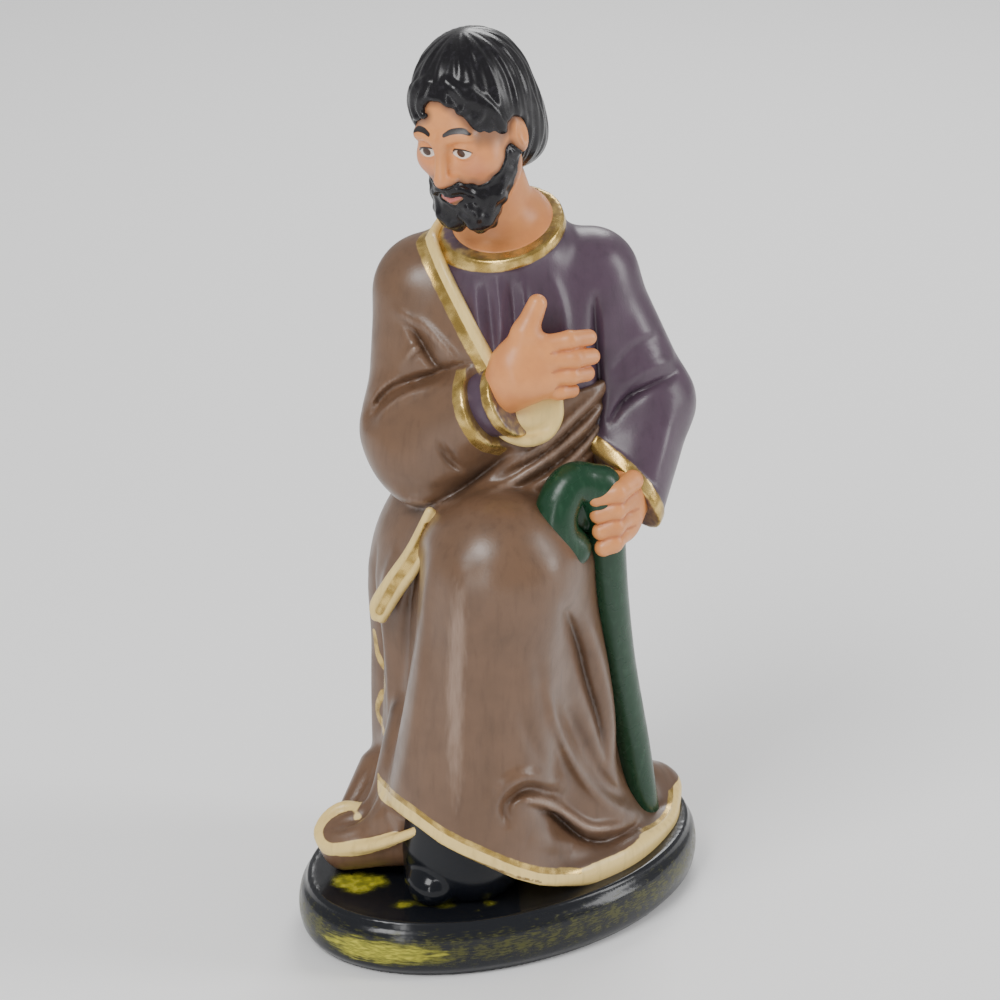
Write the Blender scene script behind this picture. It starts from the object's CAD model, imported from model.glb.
"""Looks of a kneeling, bearded saint with a staff: a plaster casting painted by hand.

The casting is one body, and its pieces here are its painted areas: robe, tunic, skin, hair,
beard, staff, shoe and plinth. Each is modelled in millimetres as clay masses that melt into each
other, with folds raised or pressed in along lines, and its skin is drawn where the distance to
them is zero. Paint lines are kept on the points as distances, so their edges stay crisp.
"""

import logging
import math
from dataclasses import dataclass, field
from enum import Enum
from typing import Callable

import bpy
import numpy as np
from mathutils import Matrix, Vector


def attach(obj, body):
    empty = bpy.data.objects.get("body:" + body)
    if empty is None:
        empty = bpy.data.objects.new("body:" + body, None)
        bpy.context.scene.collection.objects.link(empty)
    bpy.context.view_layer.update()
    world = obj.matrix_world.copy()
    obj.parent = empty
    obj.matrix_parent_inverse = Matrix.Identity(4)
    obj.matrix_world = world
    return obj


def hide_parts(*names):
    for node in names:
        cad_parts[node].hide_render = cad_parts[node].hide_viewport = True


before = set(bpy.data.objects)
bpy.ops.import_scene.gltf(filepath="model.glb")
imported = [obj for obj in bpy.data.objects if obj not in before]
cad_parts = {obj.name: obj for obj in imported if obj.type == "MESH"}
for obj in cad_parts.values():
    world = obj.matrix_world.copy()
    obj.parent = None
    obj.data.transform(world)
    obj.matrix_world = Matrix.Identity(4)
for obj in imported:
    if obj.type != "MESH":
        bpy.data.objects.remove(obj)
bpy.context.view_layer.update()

LOG = logging.getLogger("kneeling_saint")
NODE = "statue"
PLINTH_TOP = 18.0
VIEW_TILT = math.radians(22)
FAR = 9.0

Array = np.ndarray
Point = tuple[float, float, float]
Colour = tuple[float, float, float]
Field = Callable[[Array], Array]


class Facing(Enum):
    """Which way a stretch of cloth looks, so that its folds reach through its thickness."""

    FRONT = (0.0, -0.93, 0.37)
    BACK = (0.0, 1.0, 0.1)
    LEFT = (-1.0, 0.0, 0.1)
    RIGHT = (1.0, 0.0, 0.1)
    ELBOW = (0.5, -0.8, 0.3)
    UP = (-0.5, -0.4, 0.8)


# Clay


def vec(*numbers: float) -> Array:
    """A point or direction as an array."""
    return np.array(numbers, np.float32)


def ball(at: Array, centre: Point, radii: float | Point) -> Array:
    """Distance to a ball, or to an egg with three radii.

    Args:
        at: points, one a row.
        centre: its middle.
        radii: one radius, or one along each axis.

    Returns:
        The distance from each point, below zero inside.
    """
    away = at - vec(*centre)
    if np.ndim(radii) == 0:
        return np.sqrt((away * away).sum(1)) - radii
    share = away / vec(*radii)
    steep = share / vec(*radii)
    near = np.sqrt((share * share).sum(1))
    return near * (near - 1) / (np.sqrt((steep * steep).sum(1)) + 1e-9)


def limb(at: Array, start: Point, end: Point, thick: float, thin: float) -> Array:
    """Distance to a round bar that tapers from one end to the other.

    Args:
        at: points, one a row.
        start: the middle of its first end.
        end: the middle of its last end.
        thick: radius at the start.
        thin: radius at the end.

    Returns:
        The distance from each point, below zero inside.
    """
    first, last = vec(*start), vec(*end)
    line = last - first
    along = np.clip(((at - first) @ line) / float(line @ line), 0, 1)
    away = at - first - along[:, None] * line
    return np.sqrt((away * away).sum(1)) - (thick + (thin - thick) * along)


def smooth_line(points: tuple[tuple[float, ...], ...], per_span: int = 5) -> Array:
    """Rows of numbers on a smooth curve through the points.

    Args:
        points: rows of equal length that the curve passes.
        per_span: how many rows it gives for each span.

    Returns:
        The rows, with the last point at the end.
    """
    rows = np.array(points, float)
    ends = np.vstack([2 * rows[0] - rows[1], rows, 2 * rows[-1] - rows[-2]])
    found = []
    for span in range(len(rows) - 1):
        a, b, c, d = ends[span : span + 4]
        for step in range(per_span):
            t = step / per_span
            bend = (2 * a - 5 * b + 4 * c - d) * t * t + (3 * b - a - 3 * c + d) * t**3
            found.append(0.5 * (2 * b + (c - a) * t + bend))
    found.append(rows[-1])
    return np.array(found, np.float32)


def rope(at: Array, points: tuple[tuple[float, ...], ...]) -> Array:
    """Distance to a round bar along a smooth line.

    Args:
        at: points, one a row.
        points: x, y, z and radius where the line passes.

    Returns:
        The distance from each point, below zero inside; from afar, the distance to its box.
    """
    line = smooth_line(points)
    low = (line[:, :3] - line[:, 3:]).min(0)
    high = (line[:, :3] + line[:, 3:]).max(0)
    found = np.linalg.norm(np.maximum(np.maximum(low - at, at - high), 0), axis=1)
    close = found < 10
    if close.any():
        here = at[close]
        bars = [limb(here, a[:3], b[:3], a[3], b[3]) for a, b in zip(line, line[1:])]
        found[close] = np.minimum.reduce(bars)
    return found


def melt(first: Array, second: Array, softness: float) -> Array:
    """Two masses joined, with a fillet about as wide as softness."""
    near = np.maximum(softness - np.abs(first - second), 0) / softness
    return np.minimum(first, second) - near * near * softness / 4


def melted(softness: float, *masses: Array) -> Array:
    """Several masses joined in turn.

    Args:
        softness: how wide each fillet is.
        masses: distances to the masses.

    Returns:
        The distance from each point, below zero inside.
    """
    joined = masses[0]
    for mass in masses[1:]:
        joined = melt(joined, mass, softness)
    return joined


def within(mass: Array, bound: Array, softness: float) -> Array:
    """The part of a mass that lies inside a bound, with a rounded edge."""
    return -melt(-mass, -bound, softness)


def over(at: Array, point: Point, up: Point) -> Array:
    """Signed height over the plane through a point, square to a direction."""
    return (at - vec(*point)) @ (vec(*up) / np.linalg.norm(up))


def seen(at: Array) -> Array:
    """Points as the camera sees them: across, nought, and up the picture."""
    up = at[:, 2] * math.cos(VIEW_TILT) + at[:, 1] * math.sin(VIEW_TILT)
    return np.stack([at[:, 0], np.zeros(len(at), np.float32), up], 1)


def mirrored(at: Array) -> Array:
    """Points with both halves of a face folded onto one side."""
    return np.stack([np.abs(at[:, 0]), at[:, 1], at[:, 2]], 1)


@dataclass(frozen=True)
class Fold:
    """A fold raised along a smooth line on the cloth, or pressed in where its height is below zero."""

    line: tuple[Point, ...]
    width: float
    height: float
    facing: Facing = Facing.FRONT
    crisp: bool = False
    rubbed: bool = False
    through: float = 17.0
    fade: float = 5.0

    def raised(self, at: Array) -> Array:
        """How far it raises the cloth.

        Args:
            at: points, one a row.

        Returns:
            The height at each point; it fades at both ends of the line.
        """
        out = vec(*self.facing.value) / np.linalg.norm(self.facing.value)
        line = smooth_line(self.line)
        reach = 3 * self.width + self.through * np.abs(out)
        close = np.all((at > line.min(0) - reach) & (at < line.max(0) + reach), axis=1)
        lift = np.zeros(len(at), np.float32)
        if not close.any():
            return lift
        level = line @ out
        flat_line = line - np.outer(level, out)
        depth = at[close] @ out
        flat = at[close] - np.outer(depth, out)
        best = np.full(len(flat), 1e9, np.float32)
        along = np.zeros(len(flat), np.float32)
        sunk = np.zeros(len(flat), np.float32)
        spans = len(line) - 1
        for number in range(spans):
            start = flat_line[number]
            step = flat_line[number + 1] - start
            share = np.clip(((flat - start) @ step) / max(float(step @ step), 1e-9), 0, 1)
            away = flat - start - share[:, None] * step
            square = (away * away).sum(1)
            nearer = square < best
            best[nearer] = square[nearer]
            along[nearer] = (number + share[nearer]) / spans
            here_level = level[number] + share * (level[number + 1] - level[number])
            sunk[nearer] = np.abs(depth - here_level)[nearer]
        off = np.sqrt(best) / self.width
        crease = np.exp(-1.6 * (np.sqrt(off * off + 0.12) - 0.35))
        profile = crease if self.crisp else np.exp(-off * off)
        ends = np.sqrt(np.sin(math.pi * (0.03 + 0.94 * along)))
        lift[close] = self.height * profile * ends * np.clip((self.through - sunk) / self.fade, 0, 1)
        return lift


@dataclass(frozen=True)
class Drapery:
    """The folds of one stretch of cloth."""

    folds: tuple[Fold, ...]

    def over(self, at: Array, mass: Array) -> Array:
        """The mass with every fold on it.

        Args:
            at: points, one a row.
            mass: the distance to the bare cloth.

        Returns:
            The distance to the cloth with its folds.
        """
        for each in self.folds:
            mass = mass - each.raised(at)
        return mass

    def depth(self, at: Array) -> Array:
        """How deep the crisp grooves are at each point, where the paint lies darker."""
        pressed = [each for each in self.folds if each.crisp and each.height < 0]
        return np.maximum.reduce([np.maximum(-each.raised(at), 0) for each in pressed])

    def crest(self, at: Array) -> Array:
        """How high the narrow ridges stand at each point, where the paint is rubbed."""
        ridges = [each for each in self.folds if each.height > 0 and (each.rubbed or each.width < 2)]
        return np.maximum.reduce([each.raised(at) for each in ridges])


# Drawing a skin


@dataclass(frozen=True)
class SkinNet:
    """A net of four-sided faces drawn over a field."""

    step: float
    block: int = 8
    reach: float = 1.3
    room: tuple[Point, Point] = ((-68.0, -64.0, -20.0), (68.0, 64.0, 282.0))

    def corners(self, shape: Field) -> tuple[Array, Array]:
        """The low and high corner of a box round the mass, found on a coarse grid.

        Args:
            shape: the distance to the mass.

        Returns:
            The low corner and the high corner.
        """
        coarse = 6.0
        low, high = (np.array(corner) for corner in self.room)
        axes = [np.arange(low[k], high[k] + coarse, coarse) for k in range(3)]
        spots = np.stack(np.meshgrid(*axes, indexing="ij"), -1).reshape(-1, 3)
        near = spots[shape(spots.astype(np.float32)) < coarse]
        return near.min(0) - coarse, near.max(0) + coarse

    def grid(self, shape: Field, low: Array, high: Array) -> Array:
        """Distances on a grid, worked out closely only in the blocks that the skin passes.

        Args:
            shape: the distance to the mass.
            low: the box's low corner.
            high: the box's high corner.

        Returns:
            The distances, one for each corner of the grid's cells.
        """
        size = self.block
        blocks = np.ceil((high - low) / self.step / size).astype(int)
        middles = [low[k] + (np.arange(n) + 0.5) * size * self.step for k, n in enumerate(blocks)]
        centres = np.stack(np.meshgrid(*middles, indexing="ij"), -1).reshape(-1, 3)
        coarse = shape(centres.astype(np.float32)).reshape(blocks)
        values = coarse.repeat(size, 0).repeat(size, 1).repeat(size, 2).astype(np.float32)
        inner = np.stack(np.meshgrid(*[np.arange(size)] * 3, indexing="ij"), -1).reshape(-1, 3)
        limit = max(self.reach * size * self.step, 2.5)
        for share in np.array_split(np.argwhere(np.abs(coarse) < limit), 6):
            cells = (share[:, None] * size + inner).reshape(-1, 3)
            if len(cells):
                values[tuple(cells.T)] = shape((low + cells * self.step).astype(np.float32))
        return values

    def draw(self, shape: Field) -> tuple[Array, Array]:
        """The net itself.

        Args:
            shape: the distance to the mass.

        Returns:
            Its points, in millimetres, and its faces.
        """
        low, high = self.corners(shape)
        grid = self.grid(shape, low, high)
        cells = np.array(grid.shape) - 1
        total = np.zeros((cells.prod(), 3))
        count = np.zeros(cells.prod())
        rings = []
        for axis in range(3):
            first, second = np.delete(grid, -1, axis), np.delete(grid, 0, axis)
            crossed = (first < 0) != (second < 0)
            corner = np.argwhere(crossed)
            point = corner.astype(float)
            point[:, axis] += first[crossed] / (first[crossed] - second[crossed])
            others = [(axis + 1) % 3, (axis + 2) % 3]
            inner = np.all((corner[:, others] > 0) & (corner[:, others] < cells[others]), axis=1)
            corner, point, leaving = corner[inner], point[inner], (first[crossed] < 0)[inner]
            around = []
            for back in ((0, 0), (1, 0), (1, 1), (0, 1)):
                cell = corner.copy()
                cell[:, others] -= back
                around.append(np.ravel_multi_index(cell.T, cells))
                for k in range(3):
                    total[:, k] += np.bincount(around[-1], point[:, k], len(total))
                count += np.bincount(around[-1], minlength=len(count))
            quads = np.stack(around, 1)
            quads[~leaving] = quads[~leaving, ::-1]
            rings.append(quads)
        used = np.flatnonzero(count)
        number = np.full(len(count), -1)
        number[used] = np.arange(len(used))
        points = low + self.step * total[used] / count[used, None]
        return self.settled(shape, points), number[np.concatenate(rings)]

    def settled(self, shape: Field, points: Array) -> Array:
        """The points moved onto the true skin, by at most part of a step.

        Args:
            shape: the distance to the mass.
            points: points near its skin.

        Returns:
            The moved points.
        """
        for _ in range(2):
            here = points.astype(np.float32)
            value = shape(here)
            small = 0.15 * self.step
            slope = np.stack(
                [shape(here + vec(*(small * (k == axis) for k in range(3)))) - value for axis in range(3)],
                1,
            ) / small
            length = np.maximum((slope * slope).sum(1), 0.2)
            move = -(value / length)[:, None] * slope
            far = np.linalg.norm(move, axis=1, keepdims=True) / (0.5 * self.step)
            points = points + move / np.maximum(far, 1)
        return points


# Finishes


class Shader:
    """A short way to lay out the nodes of one material."""

    def __init__(self, name: str) -> None:
        """Starts a material with one Principled shader.

        Args:
            name: the material's name.
        """
        self.material = bpy.data.materials.new(name)
        self.material.use_nodes = True
        self.tree = self.material.node_tree
        self.main = self.tree.nodes["Principled BSDF"]

    def add(self, kind: str, **settings: object) -> bpy.types.Node:
        """Adds a node and sets its own properties.

        Args:
            kind: the node's type.
            settings: values of its own properties.

        Returns:
            The new node.
        """
        node = self.tree.nodes.new(kind)
        for name, value in settings.items():
            setattr(node, name, value)
        return node

    def feed(self, socket: bpy.types.NodeSocket, value: object) -> None:
        """Sets a socket, or links it to another one.

        Args:
            socket: the socket to fill.
            value: a number, a colour or another node's output.
        """
        if isinstance(value, bpy.types.NodeSocket):
            self.tree.links.new(value, socket)
        elif isinstance(value, tuple) and len(value) == 3 and socket.type == "RGBA":
            socket.default_value = (*value, 1.0)
        else:
            socket.default_value = value

    def places(self, stretch: Point = (1.0, 1.0, 1.0), turn: float = 0.0) -> bpy.types.NodeSocket:
        """Places on the piece in millimetres, stretched along each axis.

        Args:
            stretch: how long each cloud is along each axis.
            turn: turn about the upright axis.

        Returns:
            The node's output.
        """
        spots = self.add("ShaderNodeTexCoord")
        mapping = self.add("ShaderNodeMapping")
        mapping.inputs["Scale"].default_value = tuple(1000 / share for share in stretch)
        mapping.inputs["Rotation"].default_value = (0, 0, turn)
        self.feed(mapping.inputs["Vector"], spots.outputs["Object"])
        return mapping.outputs["Vector"]

    def noise(
        self,
        size: float,
        detail: float = 3,
        stretch: Point = (1.0, 1.0, 1.0),
        turn: float = 0.0,
    ) -> bpy.types.NodeSocket:
        """A cloudy value about a half, whose clouds are about size millimetres wide.

        Args:
            size: width of its clouds in millimetres.
            detail: how many finer layers it has.
            stretch: how long each cloud is along each axis.
            turn: turn about the upright axis.

        Returns:
            The node's output.
        """
        node = self.add("ShaderNodeTexNoise")
        node.inputs["Scale"].default_value = 1 / size
        node.inputs["Detail"].default_value = detail
        self.feed(node.inputs["Vector"], self.places(stretch, turn))
        return node.outputs["Fac"]

    def kept(self, name: str) -> bpy.types.NodeSocket:
        """A value kept on the points of the mesh."""
        return self.add("ShaderNodeAttribute", attribute_name=name).outputs["Fac"]

    def sum(self, first: object, second: object, factor: float = 1.0) -> bpy.types.NodeSocket:
        """The first value plus the second times a factor.

        Args:
            first: the first value.
            second: the second value.
            factor: what the second is multiplied by.

        Returns:
            The node's output.
        """
        node = self.add("ShaderNodeMath", operation="MULTIPLY_ADD")
        for socket, value in zip(node.inputs, (second, factor, first)):
            self.feed(socket, value)
        return node.outputs[0]

    def product(self, first: object, second: object) -> bpy.types.NodeSocket:
        """Two values multiplied.

        Args:
            first: the first value.
            second: the second value.

        Returns:
            The node's output.
        """
        node = self.add("ShaderNodeMath", operation="MULTIPLY")
        for socket, value in zip(node.inputs, (first, second)):
            self.feed(socket, value)
        return node.outputs[0]

    def ramp(
        self,
        value: object,
        low: float,
        high: float,
        start: float = 0.0,
        end: float = 1.0,
    ) -> bpy.types.NodeSocket:
        """A smooth step from start, at low, to end, at high.

        Args:
            value: what is stepped.
            low: where the step starts.
            high: where the step ends.
            start: what it gives up to low.
            end: what it gives from high on.

        Returns:
            The node's output.
        """
        node = self.add("ShaderNodeMapRange", interpolation_type="SMOOTHSTEP")
        for socket, each in zip(node.inputs, (value, low, high, start, end)):
            self.feed(socket, each)
        return node.outputs[0]

    def mix(self, share: object, first: object, second: object) -> bpy.types.NodeSocket:
        """The first colour, turning into the second as the share grows.

        Args:
            share: how much of the second shows.
            first: the first colour.
            second: the second colour.

        Returns:
            The node's output.
        """
        node = self.add("ShaderNodeMix", data_type="RGBA")
        self.feed(node.inputs[0], share)
        self.feed(node.inputs[6], first)
        self.feed(node.inputs[7], second)
        return node.outputs[2]

    def blend(self, share: object, first: object, second: object) -> bpy.types.NodeSocket:
        """The first number, turning into the second as the share grows.

        Args:
            share: how much of the second counts.
            first: the first number.
            second: the second number.

        Returns:
            The node's output.
        """
        node = self.add("ShaderNodeMix", data_type="FLOAT")
        for number, value in ((0, share), (2, first), (3, second)):
            self.feed(node.inputs[number], value)
        return node.outputs[0]

    def bump(self, height: object, strength: float, depth: float) -> None:
        """Low unevenness of the paint, depth millimetres deep.

        Args:
            height: what is raised.
            strength: how strongly it shows.
            depth: how deep it is in millimetres.
        """
        node = self.add("ShaderNodeBump")
        node.inputs["Strength"].default_value = strength
        node.inputs["Distance"].default_value = depth / 1000
        self.feed(node.inputs["Height"], height)
        self.feed(self.main.inputs["Normal"], node.outputs["Normal"])

    def surface(self, colour: object, roughness: object, metallic: object = 0.0) -> None:
        """Sets the shader's colour, roughness and metal share.

        Args:
            colour: the base colour.
            roughness: its roughness.
            metallic: its share of metal.
        """
        self.feed(self.main.inputs["Base Color"], colour)
        self.feed(self.main.inputs["Roughness"], roughness)
        self.feed(self.main.inputs["Metallic"], metallic)


CREAM: Colour = (0.84, 0.61, 0.22)
GILT: Colour = (0.70, 0.49, 0.16)
GILT_SHADE: Colour = (0.34, 0.22, 0.055)


@dataclass(frozen=True)
class ClothPaint:
    """Satin paint on cloth, darker in the grooves, with hems in cream and gold."""

    name: str
    colour: Colour
    shade: Colour
    rubbed: Colour
    roughness: float = 0.34

    def material(self) -> bpy.types.Material:
        """Its material; it reads the kept values cream, gilt, groove and crest.

        Returns:
            The material.
        """
        s = Shader(self.name)
        cloud = s.noise(9, 4)
        streak = s.noise(2.2, 3, (1, 1, 5))
        grain = s.noise(0.6, 2)
        body = s.mix(s.ramp(cloud, 0.3, 0.75), self.colour, tuple(0.84 * c for c in self.colour))
        body = s.mix(s.ramp(streak, 0.45, 0.8, 0.0, 0.25), body, self.shade)
        body = s.mix(s.ramp(s.kept("groove"), 0.6, 3.0, 0.0, 0.62), body, self.shade)
        rub = s.sum(s.kept("crest"), s.sum(s.noise(1.2, 3, (1, 1, 6)), -0.5), 1.1)
        body = s.mix(s.ramp(rub, 0.7, 2.0, 0.0, 0.6), body, self.rubbed)
        wobble = s.sum(s.noise(2.5, 2), -0.5)
        gilt = s.ramp(s.sum(s.kept("gilt"), wobble, 0.5), -0.2, 0.35)
        gilt = s.product(gilt, s.ramp(s.noise(0.9, 3), 0.28, 0.4, 0.8, 1.0))
        cream = s.ramp(s.sum(s.kept("cream"), wobble, 0.35), -0.1, 0.15)
        gold = s.mix(s.ramp(s.noise(5, 3), 0.36, 0.66), GILT_SHADE, GILT)
        pale = s.mix(s.ramp(streak, 0.45, 0.75, 0.0, 0.25), CREAM, GILT_SHADE)
        colour = s.mix(cream, s.mix(gilt, body, gold), pale)
        metal = s.blend(cream, s.blend(gilt, 0.0, 0.8), 0.0)
        plain = s.ramp(cloud, 0.3, 0.8, self.roughness - 0.05, self.roughness + 0.07)
        s.surface(colour, s.blend(gilt, plain, 0.27), metal)
        s.bump(s.sum(grain, streak, 0.6), 0.25, 0.12)
        return s.material


@dataclass(frozen=True)
class SkinPaint:
    """Skin paint with blushed cheeks, painted eyes, brows and lips, and a soft edge to the hair."""

    name: str = "skin_paint"
    colour: Colour = (0.72, 0.285, 0.092)
    deep: Colour = (0.46, 0.14, 0.046)
    blush: Colour = (0.58, 0.17, 0.10)
    lip: Colour = (0.50, 0.13, 0.11)
    dark: Colour = (0.015, 0.011, 0.011)
    white: Colour = (0.74, 0.66, 0.58)
    iris: Colour = (0.05, 0.022, 0.012)
    hair_shade: Colour = (0.10, 0.055, 0.04)

    def material(self) -> bpy.types.Material:
        """Its material; it reads the kept values blush, lips, eye, iris, line and edge.

        Returns:
            The material.
        """
        s = Shader(self.name)
        cloud = s.noise(7, 3)
        colour = s.mix(s.ramp(cloud, 0.3, 0.75, 0.0, 0.35), self.colour, self.deep)
        colour = s.mix(s.ramp(s.kept("groove"), 0.1, 0.9, 0.0, 0.8), colour, self.deep)
        colour = s.mix(s.product(s.kept("blush"), 0.55), colour, self.blush)
        colour = s.mix(s.ramp(s.kept("edge"), 2.6, 0.0, 0.0, 0.75), colour, self.hair_shade)
        colour = s.mix(s.ramp(s.kept("lips"), -0.25, 0.3), colour, self.lip)
        colour = s.mix(s.ramp(s.kept("eye"), -0.1, 0.15), colour, self.white)
        colour = s.mix(s.ramp(s.kept("iris"), -0.1, 0.15), colour, self.iris)
        colour = s.mix(s.ramp(s.kept("line"), -0.1, 0.15), colour, self.dark)
        s.surface(colour, s.ramp(cloud, 0.3, 0.8, 0.36, 0.44))
        s.bump(s.noise(0.5, 2), 0.15, 0.1)
        return s.material


@dataclass(frozen=True)
class GlossPaint:
    """Glossy paint of one colour with worn, paler streaks, for the hair, beard, shoe and staff."""

    name: str
    colour: Colour
    worn: Colour
    roughness: float = 0.25
    wear: float = 0.35
    stretch: Point = (1.0, 1.0, 1.0)
    shine: float = 0.5

    def material(self) -> bpy.types.Material:
        """Its material.

        Returns:
            The material.
        """
        s = Shader(self.name)
        streak = s.noise(1.6, 4, self.stretch)
        cloud = s.noise(8, 3)
        colour = s.mix(s.ramp(streak, 0.48, 0.78, 0.0, self.wear), self.colour, self.worn)
        s.surface(colour, s.ramp(cloud, 0.3, 0.8, self.roughness - 0.05, self.roughness + 0.08))
        s.main.inputs["Specular IOR Level"].default_value = self.shine
        s.bump(s.sum(s.noise(0.7, 2), streak, 0.7), 0.2, 0.1)
        return s.material


@dataclass(frozen=True)
class PlinthPaint:
    """Near-black gloss with dry-brushed yellow-olive patches."""

    name: str = "plinth_paint"
    colour: Colour = (0.0085, 0.0095, 0.0125)
    olive: Colour = (0.085, 0.085, 0.012)
    green: Colour = (0.20, 0.20, 0.02)
    yellow: Colour = (0.50, 0.46, 0.04)

    def material(self) -> bpy.types.Material:
        """Its material; it reads the kept values patch and scumble.

        Returns:
            The material.
        """
        s = Shader(self.name)
        strokes = s.noise(0.8, 5, (9, 9, 0.9), -math.radians(8))
        fine = s.noise(0.5, 3, (5, 5, 0.8), -math.radians(8))
        blot = s.noise(3.5, 4)
        dabs = s.sum(s.kept("scumble"), s.sum(fine, blot, 0.8), 1.0)
        scumble = s.ramp(dabs, 1.44, 1.86, 0.0, 0.7)
        brushed = s.sum(s.kept("patch"), s.sum(strokes, blot, 0.35), 1.1)
        colour = s.mix(scumble, self.colour, self.olive)
        colour = s.mix(s.ramp(brushed, 0.98, 1.3, 0.0, 0.9), colour, self.olive)
        bright = s.mix(s.ramp(fine, 0.35, 0.7), self.green, self.yellow)
        patch = s.ramp(brushed, 1.16, 1.5)
        colour = s.mix(patch, colour, bright)
        s.surface(colour, s.blend(patch, s.blend(scumble, 0.18, 0.45), 0.5))
        s.main.inputs["Specular IOR Level"].default_value = 0.36
        s.bump(s.sum(s.noise(2.5, 2, (2, 2, 1)), s.product(patch, strokes), 0.6), 0.35, 0.25)
        return s.material


# A painted area of the casting


@dataclass
class Area:
    """One painted area of the casting, drawn as a piece of its own."""

    name: str
    shape: Field
    finish: ClothPaint | SkinPaint | GlossPaint | PlinthPaint
    step: float
    kept: dict[str, Field] = field(default_factory=dict)

    def build(self) -> bpy.types.Object:
        """Draws its mesh, keeps its paint values and ties it to the casting.

        Returns:
            The finished piece.
        """
        points, faces = SkinNet(self.step).draw(self.shape)
        mesh = bpy.data.meshes.new(self.name)
        mesh.from_pydata(((points + vec(0, 0, PLINTH_TOP)) / 1000).tolist(), [], faces.tolist())
        for name, value in self.kept.items():
            mesh.attributes.new(name, "FLOAT", "POINT").data.foreach_set(
                "value", value(points.astype(np.float32)).astype(np.float32)
            )
        mesh.shade_smooth()
        mesh.materials.append(self.finish.material())
        piece = bpy.data.objects.new(self.name, mesh)
        bpy.context.scene.collection.objects.link(piece)
        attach(piece, "root")
        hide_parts(NODE)
        LOG.info("%s: %d triangles", self.name, 2 * len(faces))
        return piece


def none(at: Array) -> Array:
    """A kept value for a painted line that a piece doesn't have: far outside it."""
    return np.full(len(at), -FAR, np.float32)


def flat(at: Array) -> Array:
    """A kept value for relief or blush that a piece doesn't have: nought."""
    return np.zeros(len(at), np.float32)


# Plinth


@dataclass
class Plinth:
    """A cushion-sided oval with a beaded rim and a crowned top."""

    length: float = 148.0
    width: float = 102.0
    height: float = 18.0
    turn: float = math.radians(40)
    edge: float = 4.0
    bulge: float = 2.2
    crown: float = 1.6
    bead: float = 0.8
    bead_inset: float = 3.2

    def oval(self, at: Array, inset: float) -> Array:
        """Distance, seen from above, to the oval taken in by inset.

        Args:
            at: points, one a row.
            inset: how far the oval is taken in.

        Returns:
            The distance from each point, below zero inside.
        """
        half_length, half_width = self.length / 2 - inset, self.width / 2 - inset
        u = at[:, 0] * math.cos(self.turn) + at[:, 1] * math.sin(self.turn)
        v = at[:, 1] * math.cos(self.turn) - at[:, 0] * math.sin(self.turn)
        near = np.hypot(u / half_length, v / half_width) + 1e-9
        steep = np.hypot(u / half_length**2, v / half_width**2) + 1e-9
        return near * (near - 1) / steep

    def shape(self, at: Array) -> Array:
        """Distance to the plinth, whose top is at zero.

        Args:
            at: points, one a row.

        Returns:
            The distance from each point, below zero inside.
        """
        edge, rise = self.oval(at, 0), at[:, 2] + self.height
        middle = self.height / 2
        belly = self.bulge * np.clip(1 - ((rise - middle) / middle) ** 2, 0, 1)
        wall = np.stack([edge + self.bulge - belly, np.abs(rise - middle) - middle], 1) + self.edge
        block = np.minimum(wall.max(1), 0) + np.linalg.norm(np.maximum(wall, 0), axis=1) - self.edge
        dome = self.crown * (1 - np.clip(1 + edge / (self.width / 2), 0, 1) ** 2)
        crown = np.maximum(self.oval(at, self.edge), at[:, 2] - dome)
        rim = np.hypot(edge + self.bead_inset, at[:, 2])
        bead = self.bead * np.exp(-((rim / self.bead / 1.6) ** 2))
        groove = 0.5 * np.exp(-(((np.hypot(edge + self.bead_inset - 2.2, at[:, 2] + 0.3)) / 0.9) ** 2))
        body = melt(block, crown, self.bulge) - bead + groove
        return np.maximum(body, -self.height - at[:, 2])

    def patch(self, at: Array) -> Array:
        """How strongly the yellow was brushed on, from nought to one.

        Args:
            at: points, one a row.

        Returns:
            The share at each point.
        """
        strokes = (
            ((-34, -50, -9), (20, 14, 4.2), 1.0),
            ((-49, -36, -6), (9, 12, 5.0), 0.6),
            ((-45, -31, 0), (9, 6, 3), 0.8),
            ((-19, -46, 0), (7, 3, 2.5), 0.65),
            ((-4, -45, 0), (3, 3, 2), 0.6),
            ((-30, -46, 0), (6, 3, 2), 0.45),
        )
        found = np.zeros(len(at), np.float32)
        for centre, radii, amount in strokes:
            off = np.sqrt((((at - vec(*centre)) / vec(*radii)) ** 2).sum(1))
            found = np.maximum(found, amount * np.clip(1.6 - off, 0, 1))
        return found

    def scumble(self, at: Array) -> Array:
        """How strongly the olive was dabbed along the walls, from nought to one."""
        wall = np.exp(-(((at[:, 2] + 8) / 7) ** 2))
        return 0.25 + 0.5 * wall

    def areas(self) -> list[Area]:
        """Its painted area."""
        kept = {"patch": self.patch, "scumble": self.scumble}
        return [Area("plinth", self.shape, PlinthPaint(), 0.9, kept)]


# Robe


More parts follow.
